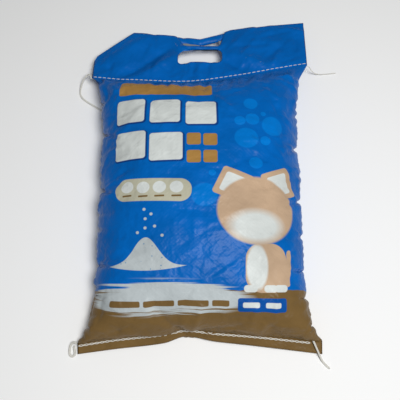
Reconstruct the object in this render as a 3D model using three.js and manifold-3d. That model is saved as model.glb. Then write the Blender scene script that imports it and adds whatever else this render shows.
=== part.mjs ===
// A filled 5 kg cat litter bag lying on its back: a flat tube of laminated woven
// polypropylene, sewn shut across the bottom and below the carrying band, where two
// loose plies with a die-cut handle hole are left. Millimetres, +Z up, +Y towards the
// handle. The origin is the middle of the bag's box, at the surface it lies on.
import * as THREE from 'three';
import { mergeVertices } from 'three/addons/utils/BufferGeometryUtils.js';
import Module from 'manifold-3d';

const wasm = await Module();
wasm.setup();

// Driving dimensions.
const SACK_WIDTH = 300; // the tube pressed flat
const HALF_WIDTH = SACK_WIDTH / 2;
const BOX_LENGTH = 470; // bottom corners to the band's right-hand corner
const HALF_LENGTH = BOX_LENGTH / 2;
const BELLY_HALF_WIDTH = 129; // the filled part draws in between its seams
const BELLY_HEIGHT = 95;
const SHEET = 0.8; // one ply
const PLY_GAP = 0.6; // between two plies that lie together
const SIDE_CREASE_HEIGHT = 42; // of the tube's side creases beside the belly
const FLATNESS = 1.7; // how far the litter presses the back panel onto the floor
const THREAD_DIAMETER = 1.8;
const CHAIN_DIAMETER = 2.6;
const CLEARANCE = 0.3; // between pieces that touch
const HOLE = { width: 62, height: 23, radius: 10.5, x: 0, y: 172.5 };
const MOUTH = { x: 3, reach: 34, rise: 9, droop: 9 }; // where the two plies stand apart

// Lines across the sack, as points (x, y) of smooth curves.
const HEM_EDGE = [[-150, -235], [-104, -229], [-44, -222], [-18, -214], [18, -220], [64, -225], [150, -235]];
const BOTTOM_SEAM = [[-150, -223], [-104, -216], [-44, -210], [-18, -206], [18, -209], [64, -212], [150, -220]];
const TOP_SEAM = [[-150, 139], [-112, 131.5], [-66, 127], [-20, 125], [28, 131], [80, 141.5], [150, 159]];
// The band's cut edge, with its left-hand corner folded away behind: straight lines.
const BAND_EDGE = [[-150, 170], [-146, 178], [-95, 216], [-50, 212], [0, 205.5], [24, 212], [44, 220], [150, 235]];
const FOLDED_CORNER = [[-146, 178], [-95, 216], [-112, 166]];

const COLUMNS = 24;
const ROWS = { hem: 2, belly: 22, band: 8 };
const STITCH_POINTS = 24; // along each row of stitching
const SEAM_PLACE = { band: 0.045, hem: 0.76 }; // of the stitches on the loose cloth beside the belly
const CUTTER_REACH = 5; // how far a cutting body passes the cloth it cuts
const HOLE_CUT_FLOOR = 5; // height over the floor from which the hole's cutting body rises

const threadColour = new THREE.Color(0xd8d6cc);
const sackMaterial = new THREE.MeshStandardMaterial({ color: 0x0a58b0, roughness: 0.42, metalness: 0 });

/** Height of a curve through points (x, y) at x, smooth at the points or straight between them. */
function lineAt(points, x, smooth = true) {
  let i = 0;
  while (i < points.length - 2 && x > points[i + 1][0]) i += 1;
  const [x0, y0] = points[i];
  const [x1, y1] = points[i + 1];
  const t = (x - x0) / (x1 - x0);
  if (!smooth) return y0 + (y1 - y0) * t;
  const slope = (k) => {
    const a = points[Math.max(k - 1, 0)];
    const b = points[Math.min(k + 1, points.length - 1)];
    return (b[1] - a[1]) / (b[0] - a[0]);
  };
  const width = x1 - x0;
  const m0 = slope(i) * width;
  const m1 = slope(i + 1) * width;
  const t2 = t * t;
  const t3 = t2 * t;
  return (2 * t3 - 3 * t2 + 1) * y0 + (t3 - 2 * t2 + t) * m0 + (3 * t2 - 2 * t3) * y1 + (t3 - t2) * m1;
}

/** Heights of the mid-plane between the plies at the four lines, for x as a fraction of the half width. */
const hemHeight = (f) => 3 + 3 * (1 - f * f);
const bottomSeamHeight = (f) => 8 + 4 * (1 - f * f);
const topSeamHeight = (f) => 26 + 8 * (1 - f * f);
const bandEdgeHeight = (f) => 18 + 3 * (1 - f * f);

/** How far the plies stand apart at the band's mouth: 0 at its ends, 1 in its middle. */
function mouth(x) {
  const r = (x - MOUTH.x) / MOUTH.reach;
  return Math.abs(r) < 1 ? (1 - r * r) ** 2 : 0;
}

/**
 * A point of the cloth. f runs across the sack from -1 to 1. row is the zone's name and t runs
 * from 0 to 1 up it. side is 1 on the front, -1 on the back. inset moves the surface inwards.
 */
function clothPoint(row, f, t, side, inset = 0) {
  const x = f * HALF_WIDTH;
  const half = SHEET + PLY_GAP / 2 - inset;
  if (row === 'hem') {
    const y = THREE.MathUtils.lerp(lineAt(HEM_EDGE, x), lineAt(BOTTOM_SEAM, x), t);
    const z = THREE.MathUtils.lerp(hemHeight(f), bottomSeamHeight(f), t);
    return [x, y, z + side * half];
  }
  if (row === 'band') {
    const open = mouth(x) * t * t;
    const edge = lineAt(BAND_EDGE, x, false) - (side > 0 ? MOUTH.droop * mouth(x) : 0);
    const y = THREE.MathUtils.lerp(lineAt(TOP_SEAM, x), edge, t);
    const z = THREE.MathUtils.lerp(topSeamHeight(f), bandEdgeHeight(f), t);
    return [x, y, z + side * half + (side > 0 ? MOUTH.rise * open : 0)];
  }
  const along = Math.abs(2 * t - 1);
  const swell = (1 - along ** 3) ** 0.62 * (1 - Math.abs(f) ** 2.8) ** 0.6;
  const halfWidth = BELLY_HALF_WIDTH + (HALF_WIDTH - BELLY_HALF_WIDTH) * along ** 7;
  const seamHeight = THREE.MathUtils.lerp(bottomSeamHeight(f), topSeamHeight(f), t);
  const crease = seamHeight + (SIDE_CREASE_HEIGHT - seamHeight) * (1 - along ** 4);
  const y = THREE.MathUtils.lerp(lineAt(BOTTOM_SEAM, x), lineAt(TOP_SEAM, x), t);
  const front = crease + half + (BELLY_HEIGHT - crease - half) * swell;
  const back = Math.max(0, crease - half - (crease - half) * FLATNESS * swell);
  return [f * halfWidth, y, side > 0 ? front : back];
}

/** A closed body between two grids of points with the same rows and columns. */
function bodyBetween(front, back) {
  const rows = front.length;
  const columns = front[0].length;
  const position = [...front.flat(2), ...back.flat(2)];
  const at = (side, r, c) => side * rows * columns + r * columns + c;
  const index = [];
  const quad = (a, b, c, d) => index.push(a, b, c, a, c, d);
  for (let r = 0; r < rows - 1; r += 1) {
    for (let c = 0; c < columns - 1; c += 1) {
      quad(at(0, r, c), at(0, r, c + 1), at(0, r + 1, c + 1), at(0, r + 1, c));
      quad(at(1, r, c), at(1, r + 1, c), at(1, r + 1, c + 1), at(1, r, c + 1));
    }
    quad(at(1, r, 0), at(0, r, 0), at(0, r + 1, 0), at(1, r + 1, 0));
    quad(at(0, r, columns - 1), at(1, r, columns - 1), at(1, r + 1, columns - 1), at(0, r + 1, columns - 1));
  }
  for (let c = 0; c < columns - 1; c += 1) {
    quad(at(1, 0, c), at(1, 0, c + 1), at(0, 0, c + 1), at(0, 0, c));
    quad(at(0, rows - 1, c), at(0, rows - 1, c + 1), at(1, rows - 1, c + 1), at(1, rows - 1, c));
  }
  const geometry = new THREE.BufferGeometry();
  geometry.setAttribute('position', new THREE.Float32BufferAttribute(position, 3));
  geometry.setIndex(index);
  return geometry;
}

/** The geometry as a solid that can be cut and joined. */
function solidOf(geometry) {
  const bare = geometry.clone();
  bare.deleteAttribute('normal');
  bare.deleteAttribute('uv');
  const merged = mergeVertices(bare);
  const vertProperties = new Float32Array(merged.attributes.position.array);
  const triVerts = new Uint32Array(merged.index.array);
  return new wasm.Manifold(new wasm.Mesh({ numProp: 3, vertProperties, triVerts }));
}

/** A solid's vertices and triangles as a geometry. */
function geometryOf(solid) {
  const mesh = solid.getMesh();
  const geometry = new THREE.BufferGeometry();
  geometry.setAttribute('position', new THREE.BufferAttribute(new Float32Array(mesh.vertProperties), 3));
  geometry.setIndex(new THREE.BufferAttribute(new Uint32Array(mesh.triVerts), 1));
  return geometry;
}

/** Fractions 0 to 1 in equal steps. */
const steps = (count) => Array.from({ length: count + 1 }, (_, i) => i / count);

/** Fractions that crowd towards both ends, where the belly curves most. */
const crowded = (count) => steps(count).map((t) => (1 - Math.cos(Math.PI * t)) / 2);

/** One face of the whole sack, row by row from the hem's cut edge to the band's. */
function sackFace(side) {
  const across = crowded(COLUMNS).map((t) => 2 * t - 1);
  const zone = (row, fractions) => fractions.map((t) => across.map((f) => clothPoint(row, f, t, side)));
  return [
    ...zone('hem', steps(ROWS.hem).slice(0, -1)),
    ...zone('belly', crowded(ROWS.belly)),
    ...zone('band', steps(ROWS.band).slice(1)),
  ];
}

/** The thin space between the two loose plies of a zone, run out past its cut edge. */
function plySpace(row, from, to) {
  const inner = steps(COLUMNS).map((t) => (2 * t - 1) * (1 - 2 * SHEET / HALF_WIDTH));
  const face = (side) => {
    const rows = steps(ROWS.band).map((t) => {
      const place = THREE.MathUtils.lerp(from, to, t);
      return inner.map((f) => clothPoint(row, f, place, side, SHEET));
    });
    const reach = row === 'band' ? CUTTER_REACH : -CUTTER_REACH;
    const outermost = rows[row === 'band' ? rows.length - 1 : 0];
    const past = outermost.map(([x, y, z]) => [x, y + reach, z]);
    return row === 'band' ? [...rows, past] : [past, ...rows];
  };
  return solidOf(bodyBetween(face(1), face(-1)));
}

/** An outline's prism between two heights. */
function prism(shape, low, high) {
  const geometry = new THREE.ExtrudeGeometry(shape, { depth: high - low, bevelEnabled: false, curveSegments: 6 });
  geometry.translate(0, 0, low);
  return solidOf(geometry);
}

/** A rectangle with round corners about a centre. */
function roundedSlot({ width, height, radius, x, y }) {
  const shape = new THREE.Shape();
  const right = x + width / 2;
  const left = x - width / 2;
  const top = y + height / 2;
  const bottom = y - height / 2;
  shape.moveTo(left + radius, bottom);
  shape.lineTo(right - radius, bottom);
  shape.absarc(right - radius, bottom + radius, radius, -Math.PI / 2, 0);
  shape.lineTo(right, top - radius);
  shape.absarc(right - radius, top - radius, radius, 0, Math.PI / 2);
  shape.lineTo(left + radius, top);
  shape.absarc(left + radius, top - radius, radius, Math.PI / 2, Math.PI);
  shape.lineTo(left, bottom + radius);
  shape.absarc(left + radius, bottom + radius, radius, Math.PI, 1.5 * Math.PI);
  return shape;
}

/** The band's left-hand corner, folded behind: two more plies under the back ply. */
function foldedCorner() {
  const shape = new THREE.Shape(FOLDED_CORNER.map(([x, y]) => new THREE.Vector2(x, y)));
  const under = bandEdgeHeight(-0.8);
  return prism(shape, under - 2.6 * SHEET - PLY_GAP, under - SHEET / 2);
}

/** The filled sack: belly, hem and band in one piece, with the band's pocket and handle hole. */
function makeBag() {
  let solid = solidOf(bodyBetween(sackFace(1), sackFace(-1)));
  solid = solid.add(foldedCorner());
  solid = solid.subtract(plySpace('band', 0.06, 1));
  solid = solid.subtract(plySpace('hem', 0, 0.8));
  solid = solid.subtract(prism(roundedSlot(HOLE), HOLE_CUT_FLOOR, BELLY_HEIGHT));
  return geometryOf(solid);
}

/** A tube of round section along points. */
function tube(points, diameter, stepLength, sides = 8) {
  const curve = new THREE.CatmullRomCurve3(points.map((p) => new THREE.Vector3(...p)), false, 'centripetal');
  const section = new THREE.Shape();
  section.absarc(0, 0, diameter / 2, 0, 2 * Math.PI);
  return new THREE.ExtrudeGeometry(section, {
    steps: Math.ceil(curve.getLength() / stepLength),
    extrudePath: curve,
    curveSegments: sides / 2,
    bevelEnabled: false,
  });
}

/** A row of stitching on one face of the loose cloth beside a seam, clear of it. */
function stitchRow(row, place, from, to, side, diameter) {
  const lift = side * (CLEARANCE * 2.6 + diameter / 2);
  const points = steps(STITCH_POINTS).map((t) => {
    const f = THREE.MathUtils.lerp(from, to, t) / HALF_WIDTH;
    const [x, y, z] = clothPoint(row, f, place, side);
    return [x, y, z + lift];
  });
  return tube(points, diameter, SACK_WIDTH / 24);
}

// Free thread tails: chains run off the machine past the ends of the seams.
const TAIL_ROUTES = {
  top_left_tail: [
    [-151.5, 139.5, 22], [-153, 144, 21.5], [-155.5, 148, 19.5], [-159, 149, 16], [-163, 147, 12], [-166.5, 143, 8],
    [-168.8, 138, 4.5], [-170, 132, 2.2], [-169.5, 126, 1.6], [-166.5, 120.5, 1.5], [-161.5, 116, 1.5],
    [-155, 111.5, 1.5], [-148, 107, 1.5], [-141, 102.5, 1.5], [-134, 99, 1.5], [-127.5, 97, 1.5],
  ],
  top_right_tail: [
    [151.5, 159.3, 23], [153.5, 158.8, 21.5], [155.5, 158.2, 18.5], [157.5, 157.8, 14.5], [160, 157.6, 10.5],
    [163, 157.8, 7], [166.5, 158.3, 4], [170.5, 158.8, 2], [175, 159.2, 1.3], [180, 159.5, 1.2], [185, 160, 1.2],
    [190, 160.6, 1.2], [195, 161.2, 1.2],
  ],
  bottom_left_tail: [
    [-151.6, -222.6, 7.5], [-153.2, -221.6, 6.8], [-155.6, -221.2, 5.4], [-158, -222.4, 4], [-159.6, -224.8, 3],
    [-160.3, -227.8, 2.3], [-160.5, -231, 2], [-160.2, -234.2, 1.9], [-158.8, -236.8, 1.9], [-156.4, -237.6, 1.9],
    [-154.4, -236.2, 1.9], [-153.8, -233.4, 1.9], [-154.4, -230.4, 1.9], [-155.2, -227.4, 1.9], [-155, -224.6, 1.9],
  ],
  bottom_right_tail: [
    [137.2, -218.6, 13], [138.4, -220.6, 13.2], [139.6, -223, 12.6], [141, -226, 11.4], [142.6, -229.2, 9.8],
    [144.2, -232.4, 8.2], [145.8, -235.6, 6.4], [147.4, -238.8, 4.6], [149, -241.8, 3], [151, -244.6, 1.9],
    [153.4, -247.2, 1.5], [156, -249.8, 1.4], [158.6, -252.2, 1.4],
  ],
};
const TAIL_DIAMETERS = {
  top_left_tail: CHAIN_DIAMETER,
  top_right_tail: 1.6,
  bottom_left_tail: 3.2,
  bottom_right_tail: CHAIN_DIAMETER,
};

/** A named mesh of one piece. */
function piece(name, geometry, material) {
  const mesh = new THREE.Mesh(geometry, material);
  mesh.name = name;
  return mesh;
}

/** Off-white polyester sewing thread. */
const threadMaterial = () => new THREE.MeshStandardMaterial({ color: threadColour, roughness: 0.8, metalness: 0 });

const bag = new THREE.Group();
bag.add(piece('bag', makeBag(), sackMaterial));

const seams = [
  ['top_needle_thread', 'band', SEAM_PLACE.band, -149, 149, 1, THREAD_DIAMETER],
  ['top_looper_thread', 'band', SEAM_PLACE.band, -149, 149, -1, CHAIN_DIAMETER],
  ['bottom_looper_thread', 'hem', SEAM_PLACE.hem, -149, 135, 1, CHAIN_DIAMETER],
  ['bottom_needle_thread', 'hem', SEAM_PLACE.hem, -149, 135, -1, THREAD_DIAMETER],
];
for (const [name, ...seam] of seams) {
  bag.add(piece(name, stitchRow(...seam), threadMaterial()));
}
for (const [name, route] of Object.entries(TAIL_ROUTES)) {
  bag.add(piece(name, tube(route, TAIL_DIAMETERS[name], 2.5 * TAIL_DIAMETERS[name]), threadMaterial()));
}

export default bag;
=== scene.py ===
"""A filled 5 kg cat litter sack, lying on its back on a pale floor.

The sack is one flat tube of laminated woven polypropylene. It is sewn shut across the
bottom and again below its carrying band, where two loose plies with a handle hole are
left. The filled part is a cloth simulation of the tube: the cloth keeps its woven length
while the litter presses it out, so it draws in at the sides and wrinkles along its side
creases as the real one does. The band, the hem, the stitches and the free thread tails
are surfaces and tubes worked out on that same cloth.

Lengths inside the classes are millimetres, and a mesh is turned to metres as it is made.
"""

import logging
import math
from dataclasses import dataclass
from enum import Enum

import bpy
import numpy as np
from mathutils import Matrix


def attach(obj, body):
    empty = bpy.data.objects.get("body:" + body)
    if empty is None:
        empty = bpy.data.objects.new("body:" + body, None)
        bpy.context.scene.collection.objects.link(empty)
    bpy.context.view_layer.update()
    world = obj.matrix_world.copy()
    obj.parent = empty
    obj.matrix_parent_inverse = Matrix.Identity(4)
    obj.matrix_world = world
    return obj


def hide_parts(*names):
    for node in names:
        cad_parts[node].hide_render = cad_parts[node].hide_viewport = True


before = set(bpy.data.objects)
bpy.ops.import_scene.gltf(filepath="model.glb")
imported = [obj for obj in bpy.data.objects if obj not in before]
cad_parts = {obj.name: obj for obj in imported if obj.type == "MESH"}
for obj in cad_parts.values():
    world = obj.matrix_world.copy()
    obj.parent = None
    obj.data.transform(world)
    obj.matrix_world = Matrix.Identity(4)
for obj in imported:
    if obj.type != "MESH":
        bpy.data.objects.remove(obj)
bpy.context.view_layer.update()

MM = 0.001

log = logging.getLogger("sack")

Place = tuple[float, float]
Points = list[Place]
Array = np.ndarray
Tree = bpy.types.NodeTree
Socket = bpy.types.NodeSocket


# ---------------------------------------------------------------------------
# Small shared tools
# ---------------------------------------------------------------------------


def linear(hex_colour: str) -> tuple[float, float, float, float]:
    """An sRGB hex colour, such as "0a58b0", as linear RGBA."""
    channels = [int(hex_colour[i : i + 2], 16) / 255 for i in (0, 2, 4)]
    rgb = [c / 12.92 if c <= 0.04045 else ((c + 0.055) / 1.055) ** 2.4 for c in channels]
    return (*rgb, 1.0)


def curve_at(points: Points, x: Array) -> Array:
    """A smooth curve through points (x, y), read at x.

    Each stretch is the cubic with the points' heights and the slopes of the chords
    between each point's neighbours.

    Args:
        points: Points in order of x.
        x: Where to read the curve.

    Returns:
        The heights at x.
    """
    p = np.asarray(points, float)
    last = len(p) - 1
    i = np.clip(np.searchsorted(p[:, 0], x, side="right") - 1, 0, last - 1)
    low, high = np.maximum(np.arange(last + 1) - 1, 0), np.minimum(np.arange(last + 1) + 1, last)
    slope = (p[high, 1] - p[low, 1]) / (p[high, 0] - p[low, 0])
    width = p[i + 1, 0] - p[i, 0]
    t = (x - p[i, 0]) / width
    t2, t3 = t * t, t**3
    start = (2 * t3 - 3 * t2 + 1) * p[i, 1] + (t3 - 2 * t2 + t) * slope[i] * width
    return start + (3 * t2 - 2 * t3) * p[i + 1, 1] + (t3 - t2) * slope[i + 1] * width


def smooth(low: float, high: float, x: Array) -> Array:
    """The smooth step: 0 at low, 1 at high, level at both."""
    t = np.clip((x - low) / (high - low), 0, 1)
    return t * t * (3 - 2 * t)


def unit(v: Array) -> Array:
    """Vectors divided by their lengths."""
    return v / np.maximum(np.linalg.norm(v, axis=-1, keepdims=True), 1e-9)


def round_normals(x: Array) -> Array:
    """Area normals of a grid that closes on itself along its second axis.

    Each is a quarter of the cross product of the differences across the point.
    """
    around = np.roll(x, -1, 1) - np.roll(x, 1, 1)
    along = np.empty_like(x)
    along[1:-1] = x[2:] - x[:-2]
    along[0], along[-1] = x[1] - x[0], x[-1] - x[-2]
    return np.cross(around, along) * 0.25


def mesh_object(name: str, points: Array, faces: Array) -> bpy.types.Object:
    """A smooth-shaded mesh object at the origin, from points in millimetres.

    Args:
        name: The piece's name.
        points: Array of shape (n, 3).
        faces: Array of shape (m, 4), counter-clockwise from outside.

    Returns:
        The new object, linked to the scene.
    """
    mesh = bpy.data.meshes.new(name)
    mesh.vertices.add(len(points))
    mesh.vertices.foreach_set("co", (points * MM).astype(np.float32).ravel())
    mesh.loops.add(faces.size)
    mesh.loops.foreach_set("vertex_index", faces.astype(np.int32).ravel())
    mesh.polygons.add(len(faces))
    mesh.polygons.foreach_set("loop_start", np.arange(0, faces.size, faces.shape[1], dtype=np.int32))
    mesh.polygons.foreach_set("use_smooth", np.ones(len(faces), bool))
    mesh.update(calc_edges=True)
    mesh.validate()
    made = bpy.data.objects.new(name, mesh)
    bpy.context.scene.collection.objects.link(made)
    return made


def map_cloth(made: bpy.types.Object, u: Array, s: Array) -> None:
    """Gives each face's corners their place on the flat cloth, in millimetres."""
    layer = made.data.uv_layers.new(name="cloth")
    layer.data.foreach_set("uv", (np.stack([u, s], -1) * MM).astype(np.float32).ravel())


def tube(path: Array, radius: Array, sides: int, up: Array) -> tuple[Array, Array]:
    """A round tube along a path, closed at both ends by a ring drawn to a point.

    Ring i is the circle of that radius about path[i], in the plane of two directions:
    the path's tangent crossed with up, and that crossed with the tangent.

    Args:
        path: Ring centres, shape (n, 3).
        radius: Ring radii, shape (n,).
        sides: Points in a ring.
        up: A direction, or one for each ring, that the path never follows.

    Returns:
        Points and four-cornered faces.
    """
    tangent = unit(np.gradient(path, axis=0))
    across = unit(np.cross(tangent, np.broadcast_to(up, path.shape)))
    above = np.cross(across, tangent)
    turn = 2 * np.pi * np.arange(sides) / sides
    ring = across[:, None] * np.cos(turn)[None, :, None] + above[:, None] * np.sin(turn)[None, :, None]
    points = path[:, None] + ring * np.asarray(radius)[:, None, None]
    tips = np.stack([path[0] - tangent[0] * radius[0] * 0.6, path[-1] + tangent[-1] * radius[-1] * 0.6])
    n = len(path)
    r, c = np.meshgrid(np.arange(n - 1), np.arange(sides), indexing="ij")
    after = (c + 1) % sides
    wall = np.stack([r * sides + c, (r + 1) * sides + c, (r + 1) * sides + after, r * sides + after], -1)
    c = np.arange(0, sides, 2)
    first, second, third = c, (c + 1) % sides, (c + 2) % sides
    near = np.stack([np.full_like(c, n * sides), first, second, third], -1)
    end = (n - 1) * sides
    far = np.stack([np.full_like(c, n * sides + 1), end + third, end + second, end + first], -1)
    return np.concatenate([points.reshape(-1, 3), tips]), np.concatenate([wall.reshape(-1, 4), near, far])


def joined(parts: list[tuple[Array, Array]]) -> tuple[Array, Array]:
    """Several bodies' points and faces as one list of each."""
    starts = np.cumsum([0] + [len(points) for points, _ in parts[:-1]])
    points = np.concatenate([p for p, _ in parts])
    return points, np.concatenate([faces + start for (_, faces), start in zip(parts, starts)])


def node(tree: Tree, kind: str, inputs: dict | None = None, **settings) -> bpy.types.Node:
    """Adds a node with its settings, and sets or links its inputs.

    Args:
        tree: The material's node tree.
        kind: The node's type, such as "ShaderNodeMath".
        inputs: Input name or number to a constant or to another node's output socket.
        settings: The node's own settings.

    Returns:
        The new node.
    """
    made = tree.nodes.new(kind)
    for key, value in settings.items():
        setattr(made, key, value)
    for key, value in (inputs or {}).items():
        if isinstance(value, Socket):
            tree.links.new(value, made.inputs[key])
        else:
            made.inputs[key].default_value = value
    return made


def maths(tree: Tree, operation: str, *values: Socket | float) -> Socket:
    """A number worked out by a maths node from sockets or constants."""
    return node(tree, "ShaderNodeMath", dict(enumerate(values)), operation=operation).outputs[0]


def vectors(tree: Tree, operation: str, *values: Socket | tuple) -> Socket:
    """A vector worked out by a vector maths node from sockets or constants."""
    return node(tree, "ShaderNodeVectorMath", dict(enumerate(values)), operation=operation).outputs[0]


def length(tree: Tree, vector: Socket) -> Socket:
    """A vector's length."""
    return node(tree, "ShaderNodeVectorMath", {0: vector}, operation="LENGTH").outputs["Value"]


def ramp(
    tree: Tree, value: Socket, low: float, high: float, start: float = 0.0, end: float = 1.0
) -> Socket:
    """Carries a value from the range low to high to the range start to end, and stops at its ends."""
    inputs = {"Value": value, "From Min": low, "From Max": high, "To Min": start, "To Max": end}
    return node(tree, "ShaderNodeMapRange", inputs).outputs[0]


def noise(tree: Tree, place: Socket, scale: float, output: str = "Fac", **inputs: float) -> Socket:
    """A soft noise of that scale, with its other inputs given by name."""
    return node(tree, "ShaderNodeTexNoise", {"Vector": place, "Scale": scale, **inputs}).outputs[output]


def new_material(name: str, roughness: float) -> tuple[bpy.types.Material, Tree, bpy.types.Node]:
    """A new material of that roughness, with its node tree and its shader."""
    material = bpy.data.materials.new(name)
    material.use_nodes = True
    shader = material.node_tree.nodes["Principled BSDF"]
    shader.inputs["Roughness"].default_value = roughness
    return material, material.node_tree, shader


def declare(piece: bpy.types.Object, material: bpy.types.Material, stands_for: str) -> None:
    """Gives a piece its material, sets it on the root body and hides the model part that it stands for."""
    piece.data.materials.append(material)
    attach(piece, "root")
    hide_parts(stands_for)


# ---------------------------------------------------------------------------
# The cut of the sack
# ---------------------------------------------------------------------------


@dataclass(frozen=True)
class Pattern:
    """The flat sack, and the lines across it as it lies.

    The cloth has two coordinates: u runs round the tube from the left side crease, over
    the front first, and s runs up it from the bottom seam.
    """

    width: float = 300.0
    body: float = 412.0
    band: float = 78.0
    hem: float = 14.0
    ply: float = 0.35
    gap: float = 0.5
    hole_width: float = 62.0
    hole_height: float = 23.0
    hole_radius: float = 8.0
    hole_centre: Place = (0.0, 172.5)

    hem_edge = [(-150, -235), (-104, -229), (-44, -222), (-18, -214), (18, -220), (64, -225), (150, -235)]
    bottom_seam = [(-150, -223), (-104, -216), (-44, -210), (-18, -206), (18, -209), (64, -212), (150, -220)]
    top_seam = [(-150, 139), (-112, 131.5), (-66, 127), (-20, 125), (28, 131), (80, 141.5), (150, 159)]
    band_edge = [(-150, 170), (-146, 178), (-95, 216), (-50, 212), (0, 205.5), (24, 212), (44, 220), (150, 235)]

    def fold(self, x: Array) -> Array:
        """1 in the middle of the sack and 0 at its sides, as a parabola."""
        return 1 - (2 * x / self.width) ** 2

    def bottom_line(self, x: Array) -> Array:
        """Points of the bottom seam, midway between the plies, at x."""
        return np.stack([x, curve_at(self.bottom_seam, x), 8 + 4 * self.fold(x)], -1)

    def top_line(self, x: Array) -> Array:
        """Points of the top seam, midway between the plies, at x."""
        return np.stack([x, curve_at(self.top_seam, x), 26 + 8 * self.fold(x)], -1)

    def hem_line(self, x: Array) -> Array:
        """Points of the hem's cut edge, midway between the plies, at x."""
        return np.stack([x, curve_at(self.hem_edge, x), 3 + 3 * self.fold(x)], -1)

    def band_line(self, x: Array) -> Array:
        """Points of the band's top edge, midway between the plies, at x."""
        p = np.asarray(self.band_edge, float)
        return np.stack([x, np.interp(x, p[:, 0], p[:, 1]), 18 + 3 * self.fold(x)], -1)

    def across(self, columns: int) -> tuple[Array, Array]:
        """The columns of the tube.

        Args:
            columns: How many there are round it.

        Returns:
            Each one's x on the flat sack, and its side: 1 front, -1 back, 0 on a crease.
        """
        u = 2 * self.width * np.arange(columns) / columns
        x = np.where(u <= self.width, u - self.width / 2, 1.5 * self.width - u)
        side = np.where(u < self.width, 1.0, -1.0)
        side[(u == 0) | (u == self.width)] = 0.0
        return x, side


# ---------------------------------------------------------------------------
# The filled part
# ---------------------------------------------------------------------------


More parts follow.
